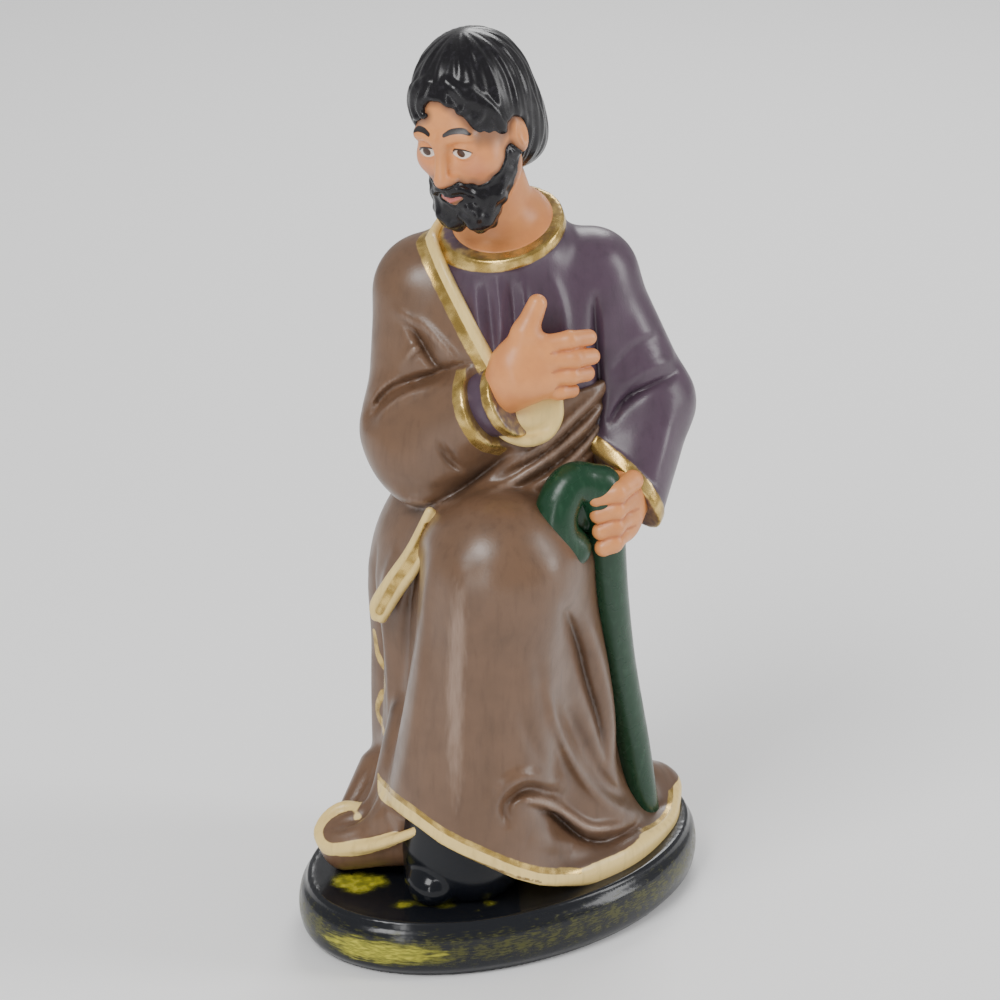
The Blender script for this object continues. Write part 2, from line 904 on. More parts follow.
@dataclass
class Robe:
    """The brown robe: over the raised knee, the seat and the kneeling leg, spread on the plinth."""

    plinth: Plinth
    knee: Point = (0.0, -33.0, 113.0)
    train_margin: float = 8.5
    train_shift: Point = (3.0, 3.5, 0.0)
    train_thick: float = 5.0
    hem_half: float = 2.0
    hem_rise: float = 1.5
    line_half: float = 1.0
    line_rise: float = 4.2
    parting_half: float = 0.32
    parting_rise: float = 1.1
    parting_slope: float = 0.05
    train_band: float = 2.3
    train_line: float = 3.1
    train_line_half: float = 0.9
    train_low: float = 7.5
    curl_band: float = 0.9
    hem_line: tuple[tuple[float, float], ...] = (
        (-46, 24.5),
        (-41, 21.4),
        (-38, 17.1),
        (-31.9, 13.4),
        (-26.1, 9.8),
        (-19.1, 4.8),
        (-11.2, 0.6),
        (-3.3, -3.1),
        (4.6, -6.9),
        (12.5, -9.8),
        (17.5, -10.8),
        (25.3, -11.6),
        (31, -11.6),
    )
    side_line: tuple[tuple[float, ...], ...] = (
        (-41.0, 5.4, 73.0, 1.3),
        (-39.7, 4.1, 65.5, 1.5),
        (-37.6, -1.9, 58.0, 1.6),
        (-39.0, 3.1, 51.0, 1.5),
        (-40.2, 4.7, 44.8, 1.4),
        (-38.2, -0.9, 41.0, 1.6),
        (-36.9, -7.0, 39.0, 1.6),
        (-37.4, -12.1, 37.5, 1.6),
        (-39.6, -17.7, 36.0, 1.4),
    )
    drapery: Drapery = Drapery(
        (
            Fold(
                ((-13, -54, 122), (-13, -56, 104), (-14, -56, 81), (-14, -57, 57), (-14, -58, 35)),
                4.0,
                1.7,
                rubbed=True,
            ),
            Fold(((1, -56, 100), (2, -58, 76), (5, -57, 56)), 6.5, -1.4),
            Fold(((-7, -58, 78), (-5, -58, 65), (-4, -58, 51), (-0.5, -57, 41)), 3.0, -1.1),
            Fold(((6, -55, 73), (9, -53, 63), (13, -48, 52)), 2.2, -1.1),
            Fold(((11, -53, 90), (13, -51, 78), (15, -46, 68)), 2.2, -0.9),
            Fold(((14, -49, 77), (19, -37, 58), (25, -26, 39), (33, -19, 25), (43, -6, 12)), 2.2, 2.4),
            Fold(((21, -33, 62), (28, -24, 43), (33, -18, 30), (40, -10, 18)), 3.0, -3.0),
            Fold(
                ((20, -47, 104), (24, -33, 86), (27, -27, 71), (31, -21, 54), (34, -17, 38)),
                2.2,
                -3.2,
                crisp=True,
            ),
            Fold(((27, -29, 93), (33, -18, 70), (37, -10, 50), (41, 2, 24)), 2.8, 1.6),
            Fold(((-1, -57, 41), (2.7, -56, 48), (10, -51, 48.5), (19, -33, 37)), 2.8, 2.0),
            Fold(((2, -56, 35), (1.4, -56, 41), (4, -55, 44), (9, -52, 45), (16, -40, 37)), 2.0, -3.6),
            Fold(((6.4, -54, 42), (14, -45, 37), (21, -28, 24), (29, -24, 17), (39, -14, 13)), 1.8, 2.4),
            Fold(
                (
                    (10.5, -50, 37),
                    (17, -35, 27),
                    (22, -28, 19),
                    (27, -26, 14),
                    (34, -22, 11),
                    (44, -10, 9.6),
                ),
                1.9,
                -3.2,
                crisp=True,
            ),
            Fold(((9, -51, 27), (16, -40, 20), (23, -30, 13)), 3.4, 1.6),
            Fold(
                ((-24, -34, 118), (-28, -30, 100), (-31, -27, 80), (-35, -27, 60), (-39, -29, 43)),
                2.6,
                -3.2,
                crisp=True,
            ),
            Fold(
                ((-20, -34, 114), (-24, -36, 96), (-26, -38, 76), (-29, -40, 54), (-32, -41, 40)),
                2.6,
                1.2,
            ),
            Fold(((-35, -14, 108), (-38, -10, 84), (-39, -8, 60), (-40, -8, 36)), 2.4, 1.6, Facing.LEFT),
            Fold(((-36, -2, 104), (-39, 1, 76), (-41, 2, 40)), 2.4, -1.8, Facing.LEFT, True),
            Fold(((-36, 8, 92), (-40, 10, 60), (-44, 12, 20)), 5.0, 2.0, Facing.LEFT),
            Fold(((-34, 24, 86), (-37, 26, 50), (-40, 28, 14)), 4.5, -2.0, Facing.BACK),
            Fold(((-22, 42, 96), (-25, 46, 55), (-30, 48, 12)), 5.0, 2.2, Facing.BACK),
            Fold(((-6, 45, 100), (-8, 48, 60), (-10, 52, 14)), 4.5, -2.2, Facing.BACK),
            Fold(((8, 44, 92), (8, 47, 55), (10, 50, 14)), 5.0, 2.2, Facing.BACK),
            Fold(((24, 34, 90), (28, 36, 50), (34, 42, 14)), 4.5, -2.0, Facing.BACK),
            Fold(((33, 20, 92), (34, 20, 55), (40, 22, 16)), 5.0, 1.8, Facing.RIGHT),
        )
    )
    curl: tuple[tuple[float, ...], ...] = (
        (-26.8, -42, 25, 1.5),
        (-33.6, -38, 20.2, 1.7),
        (-41.8, -34, 15.6, 1.8),
        (-50, -30, 13, 1.9),
        (-56, -27, 12.4, 2.0),
        (-58.4, -23, 15, 2.0),
        (-56, -19, 18.4, 2.0),
        (-51.5, -17, 21, 1.9),
        (-46.5, -18.5, 21.6, 1.8),
        (-45.5, -22, 19.5, 1.7),
    )
    skirt_folds: Drapery = Drapery(
        (
            Fold(((-38, -24, 34), (-45, -25, 22), (-52, -24, 15)), 2.6, -2.2, Facing.UP),
            Fold(((-42, -4, 30), (-47, -8, 22), (-53, -12, 14)), 2.4, -2.0, Facing.UP, True),
            Fold(((-32, -32, 34), (-36, -32, 26), (-40, -31, 19)), 2.4, 1.2, Facing.UP),
        )
    )

    def bulk(self, at: Array) -> Array:
        """The cloth's mass over knee, thigh, seat and fall, before its hem is cut.

        Args:
            at: points, one a row.

        Returns:
            The distance from each point, below zero inside.
        """
        thigh = limb(at, (-10, 4, 104), self.knee, 25, 21.5)
        shin = limb(at, (-1, -36, 112), (-11, -31, 17), 21.5, 27.5)
        side = limb(at, (13, -18, 110), (19, -3, 12), 17, 20)
        hips = limb(at, (-1, 8, 114), (-3, 9, 94), 29, 32)
        seat = ball(at, (6, 16, 84), (27, 18, 34))
        fall = limb(at, (-6.5, 9, 94), (-7.5, 13, 10), 33, 34)
        return melted(14, thigh, shin, side, hips, seat, fall)

    def spread(self, at: Array) -> Array:
        """The train that lies on the plinth over the trailing shin and foot.

        Args:
            at: points, one a row.

        Returns:
            The distance from each point, below zero inside.
        """
        sheet = within(self.from_rim(at), at[:, 2] - self.train_thick, 3.0)
        calf = limb(at, (18, -8, 8), (46, 28, 6), 11, 7.5)
        foot = limb(at, (46, 28, 6), (52, 34, 5), 7.5, 6)
        return melted(9, sheet, calf, foot)

    def over_hem(self, at: Array) -> Array:
        """Height over the front hem, as the camera sees it.

        Args:
            at: points, one a row.

        Returns:
            The height at each point, below zero under the hem.
        """
        across, up = np.array(self.hem_line).T
        shown = seen(at)
        return 0.85 * (shown[:, 2] - np.interp(shown[:, 0], across, up)).astype(np.float32)

    def opening(self, at: Array) -> Array:
        """Below zero in front, under the hem, where the shoe shows."""
        return np.maximum.reduce([self.over_hem(at), at[:, 1] + 14, at[:, 0] - 30])

    def skirt(self, at: Array) -> Array:
        """The skirt left of the knee, flaring to a curled hem on the plinth.

        Args:
            at: points, one a row.

        Returns:
            The distance from each point, below zero inside.
        """
        fall = melted(
            9,
            limb(at, (-28, -14, 52), (-31, -22, 22), 8, 12),
            limb(at, (-32, -24, 16), (-50, -23, 9), 11, 6.5),
            limb(at, (-36, 2, 22), (-47, -8, 10), 12, 8),
            ball(at, (-49, -23, 14), (8.5, 6.5, 5.5)),
        )
        return melt(self.skirt_folds.over(at, fall), rope(at, self.curl), 1.6)

    def staff_rest(self, at: Array) -> Array:
        """The fold that the staff lies against all the way down."""
        return rope(at, ((40, 16, 4, 5.5), (35, 7, 40, 5), (30, -5, 80, 5), (27, -15, 118, 6)))

    def shape(self, at: Array) -> Array:
        """The whole lower robe, open in front over the shoe.

        Args:
            at: points, one a row.

        Returns:
            The distance from each point, below zero inside.
        """
        cloth = self.drapery.over(at, melt(self.bulk(at), self.spread(at), 20))
        cloth = within(cloth, -self.opening(at), 1.2)
        cloth = melt(cloth, self.staff_rest(at), 4)
        cloth = melt(cloth, self.skirt(at), 3)
        return np.maximum(cloth, -0.5 - at[:, 2])

    def underskirt(self, at: Array) -> Array:
        """The dark underskirt in the robe's opening."""
        return within(self.bulk(at) + 6.5, at[:, 2] - 44, 2)

    def parting(self, at: Array) -> Array:
        """Distance inside the thin line that parts the two layers of the front hem.

        Args:
            at: points, one a row.

        Returns:
            The distance at each point, above zero on the paint.
        """
        rise = self.parting_rise + self.parting_slope * (at[:, 0] - 12)
        line = self.parting_half - np.abs(self.over_hem(at) - rise)
        return np.minimum(line, 16 - np.abs(at[:, 0] + 3))

    def in_front(self, at: Array) -> Array:
        """Distance inside the front of the robe, where its hem is drawn."""
        return np.minimum.reduce([-12 - at[:, 1], 31 - at[:, 0], at[:, 0] + 39.5])

    def on_train(self, at: Array) -> Array:
        """Distance inside the low end of the train, right and behind."""
        return np.minimum(self.train_low - at[:, 2], np.maximum(at[:, 0] - 26, at[:, 1] + 12))

    def from_rim(self, at: Array) -> Array:
        """Distance outside the train's rim, seen from above; below zero on the train."""
        return self.plinth.oval(at - vec(*self.train_shift), self.train_margin)

    def cream(self, at: Array) -> Array:
        """Distance inside the cream hems; below zero elsewhere.

        Args:
            at: points, one a row.

        Returns:
            The distance at each point, above zero on the paint.
        """
        band = self.hem_half - np.abs(self.over_hem(at) - self.hem_rise)
        front = np.minimum(band, self.in_front(at))
        front = np.minimum(front, -self.parting(at))
        train = np.minimum(self.from_rim(at) + self.train_band, self.on_train(at))
        curled = self.curl_band - rope(at, self.curl)
        return np.maximum.reduce([front, train, curled])

    def gilt(self, at: Array) -> Array:
        """Distance inside the gold lines above the hems.

        Args:
            at: points, one a row.

        Returns:
            The distance at each point, above zero on the paint.
        """
        line = self.line_half - np.abs(self.over_hem(at) - self.line_rise)
        front = np.minimum(line, self.in_front(at))
        rim = self.train_line_half - np.abs(self.from_rim(at) + self.train_line)
        train = np.minimum(rim, self.on_train(at))
        return np.maximum.reduce([front, self.parting(at), train, -rope(at, self.side_line)])


# Shoe


@dataclass
class Shoe:
    """The forward shoe, and the dark underskirt over it."""

    robe: Robe

    def shape(self, at: Array) -> Array:
        """Toe and instep, melted into the underskirt.

        Args:
            at: points, one a row.

        Returns:
            The distance from each point, below zero inside.
        """
        toe = ball(at, (-21.5, -39, 7), (9.3, 12.5, 8))
        instep = limb(at, (-20.5, -31, 8), (-16, -25, 30), 9.3, 9)
        return melt(melt(toe, instep, 5), self.robe.underskirt(at), 2)

    def areas(self) -> list[Area]:
        """Its painted area."""
        paint = GlossPaint("shoe_paint", (0.005, 0.006, 0.009), (0.02, 0.02, 0.02), 0.18, 0.15, shine=0.3)
        return [Area("shoe", self.shape, paint, 0.8)]


# Body, sleeves and mantle


@dataclass
class Tunic:
    """The purple tunic: body, left sleeve, cuffs and collar."""

    neckline: Point = (1.5, -2.0, 213.5)
    neck_up: Point = (-0.17, -0.36, 0.92)
    forearm: Point = (0.79, -0.42, 0.44)
    cuff_mouth: Point = (2.0, -27.0, 166.0)
    left_cuff: Point = (40.3, -15.2, 129.4)
    left_forearm: Point = (-0.68, -0.52, -0.50)
    collar_half: float = 1.9
    collar_drop: float = 1.3
    collar_reach: float = 30.0
    cuff_half: float = 2.2
    cuff_inset: float = 2.0
    inner_cuff_half: float = 1.8
    inner_cuff_inset: float = 1.6
    touch: float = 0.8
    band_relief: float = 0.5
    behind: float = 12.0
    drapery: Drapery = Drapery(
        (
            Fold(((-8, -19, 200), (-7, -21, 190), (-5, -23, 180)), 1.5, 1.0),
            Fold(((-4, -20, 201), (-3, -22, 190), (-2, -23, 181)), 1.2, -0.9),
            Fold(((-1, -20, 202), (0, -22, 191), (0, -23, 182)), 1.5, 1.1),
            Fold(((3, -20, 202), (4, -22, 192), (4, -23, 184)), 1.2, -0.9),
            Fold(((7, -20, 202), (8, -21, 193), (8, -23, 186)), 1.5, 1.0),
            Fold(((16, -18, 202), (19, -19, 193), (20, -20, 184)), 2.0, 0.9),
            Fold(((29, -12, 194), (30, -14, 178), (31, -12, 160), (30, -14, 148)), 2.0, -3.2, crisp=True),
            Fold(
                ((33, -10, 152), (40, -11, 159), (47, -10, 163), (57, -4, 166)),
                1.8,
                -2.6,
                Facing.ELBOW,
                True,
            ),
            Fold(((37, -9, 163), (46, -9, 169), (56, -4, 171)), 2.2, 1.3, Facing.ELBOW),
            Fold(((36, -10, 170), (43, -8, 176), (51, -4, 178)), 1.6, -1.0, Facing.ELBOW),
            Fold(((14, 30, 196), (18, 29, 176), (24, 28, 156)), 4.0, -1.6, Facing.BACK),
            Fold(((52, -5, 158), (50, -13, 146), (46, -20, 136)), 4.0, 0.9, Facing.ELBOW),
        )
    )

    def collar_height(self, at: Array) -> Array:
        """Signed height over the neckline."""
        return over(at, self.neckline, self.neck_up)

    def body(self, at: Array) -> Array:
        """Chest, shoulders, waist and the slope up to the neckline.

        Args:
            at: points, one a row.

        Returns:
            The distance from each point, below zero inside.
        """
        chest = ball(at, (2, 3, 172), (34, 25, 36))
        shoulders = limb(at, (-23, 5, 193), (28, 7, 196), 13.5, 13.5)
        waist = ball(at, (1, 4, 140), (31, 27, 30))
        slope = limb(at, (2, 7, 192), (1.5, -2, 219), 23, 17)
        trunk = melted(12, chest, shoulders, waist)
        return melt(trunk, within(slope, self.collar_height(at), 1.0), 7)

    def throat(self, at: Array) -> Array:
        """The bare skin that fills the collar."""
        slope = limb(at, (2, 7, 192), (1.5, -2, 219), 19.6, 13.6)
        return within(slope, self.collar_height(at) - 0.3, 0.8)

    def chest_edge(self, at: Array) -> Array:
        """Distance past the mantle's edge across the chest; below zero on the mantle."""
        behind = np.maximum(at[:, 1], 0)
        return 0.87 * (at[:, 0] + 3) + 0.49 * (at[:, 2] - 180) - 0.5 * behind

    def edge(self, at: Array) -> Array:
        """Below zero where the mantle covers the body.

        Args:
            at: points, one a row.

        Returns:
            The distance at each point, below zero under the mantle.
        """
        behind = np.maximum(at[:, 1], 0)
        waist = 0.99 * (at[:, 2] - 163) - 0.15 * (at[:, 0] - 14) - 0.3 * behind
        return melt(self.chest_edge(at), waist, 8)

    def trimmed_edge(self, at: Array) -> Array:
        """Distance past the mantle's edge where it is trimmed, across chest and back."""
        return np.where(at[:, 1] > self.behind, self.edge(at), self.chest_edge(at))

    def left_sleeve(self, at: Array) -> Array:
        """The left sleeve, bent at the elbow, cut at its cuff.

        Args:
            at: points, one a row.

        Returns:
            The distance from each point, below zero inside.
        """
        upper = limb(at, (28, 7, 192), (46, 6, 154), 15, 14.5)
        fore = limb(at, (46, 5, 152), (38.5, -15, 126.5), 15, 13)
        pit = limb(at, (26, 2, 182), (34, -2, 138), 12, 12)
        sleeve = melted(5, upper, fore, pit)
        return within(sleeve, over(at, self.left_cuff, self.left_forearm), 1.5)

    def right_cuff(self, at: Array) -> Array:
        """The tight cuff inside the mantle's wide sleeve."""
        sleeve = limb(at, (-9, -19, 161), (4, -25, 165), 10.5, 11.5)
        return within(sleeve, over(at, self.cuff_mouth, self.forearm), 1.5)

    def shape(self, at: Array) -> Array:
        """The tunic with its folds and a low raised collar and cuffs.

        Args:
            at: points, one a row.

        Returns:
            The distance from each point, below zero inside.
        """
        covered = np.clip(-1.5 - self.edge(at), 0, 4)
        cloth = self.drapery.over(at, melt(self.body(at) + covered, self.left_sleeve(at), 6))
        cloth = melt(cloth, self.right_cuff(at), 1.0)
        return cloth - self.band_relief * np.clip(self.gilt(at) + 0.5, 0, 1)

    def gilt(self, at: Array) -> Array:
        """Distance inside the gold bands of collar and cuffs.

        Args:
            at: points, one a row.

        Returns:
            The distance at each point, above zero on the paint.
        """
        collar = self.collar_half - np.abs(self.collar_height(at) + self.collar_drop)
        collar = np.minimum(collar, self.collar_reach - np.hypot(at[:, 0] - 1.5, at[:, 1] + 3))
        left = self.cuff_half - np.abs(over(at, self.left_cuff, self.left_forearm) + self.cuff_inset)
        left = np.minimum(left, self.touch - self.left_sleeve(at))
        mouth = over(at, self.cuff_mouth, self.forearm)
        right = self.inner_cuff_half - np.abs(mouth + self.inner_cuff_inset)
        right = np.minimum(right, self.touch - self.right_cuff(at))
        return np.maximum.reduce([collar, left, right])

    def areas(self) -> list[Area]:
        """Its painted area.

        Returns:
            The areas to draw.
        """
        paint = ClothPaint("purple_paint", (0.077, 0.046, 0.071), (0.024, 0.013, 0.022), (0.2, 0.14, 0.19))
        kept = {
            "cream": none,
            "gilt": self.gilt,
            "groove": self.drapery.depth,
            "crest": self.drapery.crest,
        }
        return [Area("tunic", self.shape, paint, 0.8, kept)]


@dataclass
class Mantle:
    """The mantle over the right shoulder, with its wide sleeve and its turned-out lining."""

    tunic: Tunic
    robe: Robe
    cloth: float = 1.8
    mouth: Point = (-5.0, -25.0, 162.0)
    lip_height: float = 0.9
    lip_inset: float = 1.6
    lip_spread: float = 1.7
    edge_half: float = 3.3
    edge_inset: float = 0.3
    line_half: float = 1.8
    line_inset: float = 5.0
    mouth_half: float = 2.0
    mouth_inset: float = 2.0
    trimmed_above: float = 170.0
    drapery: Drapery = Drapery(
        (
            Fold(
                (
                    (-40, -16, 154),
                    (-39, -15, 158),
                    (-35, -15, 163.5),
                    (-30, -16, 167),
                    (-22, -18, 170.4),
                    (-15, -21, 174),
                ),
                2.4,
                -3.2,
            ),
            Fold(((-41, -12, 156), (-38.5, -12, 162), (-33.4, -14, 167), (-27.4, -16, 169.5)), 1.4, 1.3),
            Fold(
                ((-30, -16, 167), (-22, -18, 170.4), (-15, -21, 174), (-8, -24, 177)),
                1.1,
                -1.5,
                crisp=True,
            ),
            Fold(((-28, -15, 169), (-21, -18, 172.6), (-14, -21, 176)), 1.3, 1.0),
            Fold(((-38, -18, 155.5), (-34, -18, 160.5), (-27.4, -18.5, 164.8), (-21, -20, 168)), 1.4, 1.2),
            Fold(
                ((-30, -12, 186), (-26, -14, 182.5), (-23, -16, 178), (-20, -18, 174), (-17, -20, 173)),
                1.7,
                -3.0,
                crisp=True,
            ),
            Fold(((-26, -14, 187.6), (-22, -16, 184), (-17, -19, 179), (-14, -21, 176)), 1.8, 1.3),
            Fold(((-32, -11, 189), (-28, -13, 186), (-26, -14, 183)), 1.8, 1.2),
            Fold(((-30, -14, 172.4), (-27, -14, 177), (-23.6, -16, 178.7)), 1.5, 1.5),
            Fold(((-18.6, -30, 152.7), (-15.6, -29.5, 147.3), (-10.7, -28, 142)), 1.5, -2.0),
            Fold(
                ((-32, -18, 124), (-22, -24, 129), (-12.6, -28, 136), (-3.2, -30, 144.5), (2, -30, 149)),
                2.0,
                -3.4,
                crisp=True,
            ),
            Fold(((-31, -25, 137), (-22, -28, 136), (-12.6, -28, 138), (-4, -26, 142)), 2.4, -1.2),
            Fold(((-32, -22, 132.4), (-27.7, -21, 129.4), (-19, -25, 130), (-10, -26, 133)), 1.8, 1.4),
            Fold(((33, -12, 164), (24.6, -20, 159), (13.7, -28, 151), (3, -33, 146)), 1.7, 2.0),
            Fold(
                ((33, -12, 161.5), (25, -20, 156.5), (14.5, -28, 149), (3, -33, 143.5)),
                1.5,
                -2.0,
                crisp=True,
            ),
            Fold(
                ((33, -12, 159), (26, -20, 153.5), (15.3, -28, 147), (4.5, -34, 141.5), (-6.3, -36, 137)),
                1.7,
                2.0,
            ),
            Fold(
                ((32.5, -12, 156), (26.5, -20, 150.5), (17, -28, 144.5), (6, -34, 139)),
                1.5,
                -2.0,
                crisp=True,
            ),
            Fold(((32.3, -12, 153), (27.2, -20, 148), (18.4, -28, 142), (9.1, -33, 138)), 1.7, 2.0),
            Fold(((31.5, -13, 149), (26, -20, 144.5), (18.4, -27, 140)), 1.5, -1.6, crisp=True),
            Fold(((31, -14, 145), (24.7, -20, 141.5), (18.4, -26, 138)), 1.7, 1.4),
            Fold(((-20, 28, 196), (2, 33, 168), (26, 30, 140)), 4.0, 1.8, Facing.BACK),
            Fold(((-30, 20, 180), (-8, 32, 146), (20, 36, 116)), 4.0, -1.4, Facing.BACK),
            Fold(((-34, 16, 150), (-14, 34, 122), (14, 40, 100)), 4.0, 1.8, Facing.BACK),
        )
    )
    hanging_left: tuple[tuple[float, ...], ...] = (
        (-22, -26, 128, 1.5),
        (-28, -25.5, 115, 1.7),
        (-34.5, -21, 103, 1.9),
        (-39.2, -17, 93, 2.1),
        (-39.4, -16, 88.4, 1.9),
    )
    hanging_right: tuple[tuple[float, ...], ...] = (
        (-19.5, -26.5, 126, 1.4),
        (-25.5, -26, 111, 1.5),
        (-32, -22, 99, 1.5),
        (-37.6, -17, 88, 1.7),
    )
    hanging_middle: tuple[tuple[float, ...], ...] = (
        (-21, -25.4, 127, 1.5),
        (-27, -25, 113, 1.9),
        (-33.5, -20.6, 101, 2.1),
        (-38.2, -16, 90, 2.0),
    )
    flap_rim: tuple[tuple[float, ...], ...] = (
        (-1, -27.5, 156, 1.6),
        (3.5, -28.5, 153.6, 1.8),
        (9, -28, 152.4, 1.9),
        (14.5, -26, 154, 1.9),
        (17.5, -24, 158.5, 1.8),
        (17.7, -23, 164, 1.6),
    )

    def sleeve(self, at: Array) -> Array:
        """The wide sleeve over the bent right arm, cut at its mouth.

        Args:
            at: points, one a row.

        Returns:
            The distance from each point, below zero inside.
        """
        upper = limb(at, (-25, 3, 190), (-26, -1, 150), 14.5, 16)
        fore = limb(at, (-26, -8, 147), (-3, -22, 162), 17, 13.8)
        sag = ball(at, (-18, -13, 138), (18, 15, 14))
        return within(melted(9, upper, fore, sag), over(at, self.mouth, self.tunic.forearm), 1.2)

    def wrap(self, at: Array) -> Array:
        """The mantle on the body, with its sleeve and folds.

        Args:
            at: points, one a row.

        Returns:
            The distance from each point, below zero inside.
        """
        from_lip = (self.tunic.trimmed_edge(at) + self.lip_inset) / self.lip_spread
        lip = self.lip_height * np.exp(-(from_lip**2))
        cloth = within(self.tunic.body(at) - self.cloth - lip, self.tunic.edge(at), 1.2)
        return self.drapery.over(at, melt(cloth, self.sleeve(at), 4))

    def shape(self, at: Array) -> Array:
        """Mantle and robe, which are one brown."""
        return melt(self.wrap(at), self.robe.shape(at), 4)

    def lining(self, at: Array) -> Array:
        """The lining where it turns out: under the right hand and below the elbow.

        Args:
            at: points, one a row.

        Returns:
            The distance from each point, below zero inside.
        """
        flap = melted(
            2,
            ball(at, (9.5, -22, 160.5), (9, 5.5, 8.5)),
            limb(at, (-1, -24, 158.5), (8, -24, 158.5), 3.5, 4.5),
            rope(at, self.flap_rim),
        )
        hanging = melted(
            0.6, rope(at, self.hanging_middle), rope(at, self.hanging_left), rope(at, self.hanging_right)
        )
        return np.minimum(flap, hanging)

    def lining_gilt(self, at: Array) -> Array:
        """Distance inside the gold between the two edges of the hanging lining.

        Args:
            at: points, one a row.

        Returns:
            The distance at each point, above zero on the paint.
        """
        rows = np.array(self.hanging_middle, np.float32)
        middle = np.column_stack([seen(rows[:, :3]), np.full(len(rows), 1.5)])
        return np.minimum(-rope(seen(at), middle), 125 - at[:, 2])

    def on_edge(self, at: Array) -> Array:
        """Distance inside the stretch of the mantle's edge that is trimmed: chest and back."""
        return np.maximum(at[:, 2] - self.trimmed_above, at[:, 1] - self.tunic.behind)

    def cream(self, at: Array) -> Array:
        """Distance inside the cream edge across chest and back, and the robe's hems.

        Args:
            at: points, one a row.

        Returns:
            The distance at each point, above zero on the paint.
        """
        band = self.edge_half - np.abs(self.tunic.trimmed_edge(at) + self.edge_inset)
        lip = np.minimum(band, self.on_edge(at))
        return np.maximum(lip, self.robe.cream(at))

    def gilt(self, at: Array) -> Array:
        """Distance inside the gold beside the cream edge, and round the sleeve's mouth.

        Args:
            at: points, one a row.

        Returns:
            The distance at each point, above zero on the paint.
        """
        line = self.line_half - np.abs(self.tunic.trimmed_edge(at) + self.line_inset)
        line = np.minimum(line, self.on_edge(at))
        mouth = self.mouth_half - np.abs(over(at, self.mouth, self.tunic.forearm) + self.mouth_inset)
        mouth = np.minimum(mouth, self.tunic.touch - self.sleeve(at))
        return np.maximum.reduce([line, mouth, self.robe.gilt(at)])

    def groove(self, at: Array) -> Array:
        """How deep the grooves are; the low end of the train counts as one."""
        low = 1.9 * np.clip((30 - at[:, 2]) / 24, 0, 1) * np.clip((at[:, 0] - 2) / 18, 0, 1)
        return np.maximum.reduce([self.drapery.depth(at), self.robe.drapery.depth(at), low])

    def crest(self, at: Array) -> Array:
        """How high the narrow ridges stand."""
        return np.maximum(self.drapery.crest(at), self.robe.drapery.crest(at))

    def areas(self) -> list[Area]:
        """The brown cloth and the cream lining.

        Returns:
            The areas to draw.
        """
        brown = ClothPaint("brown_paint", (0.152, 0.084, 0.048), (0.045, 0.023, 0.013), (0.37, 0.26, 0.20))
        kept = {
            "cream": self.cream,
            "gilt": self.gilt,
            "groove": self.groove,
            "crest": self.crest,
        }
        lining = ClothPaint("lining_paint", CREAM, (0.30, 0.20, 0.07), CREAM, 0.42)
        plain = {"cream": none, "gilt": self.lining_gilt, "groove": flat, "crest": flat}
        return [
            Area("robe_and_mantle", self.shape, brown, 1.0, kept),
            Area("lining", self.lining, lining, 0.6, plain),
        ]


# Head


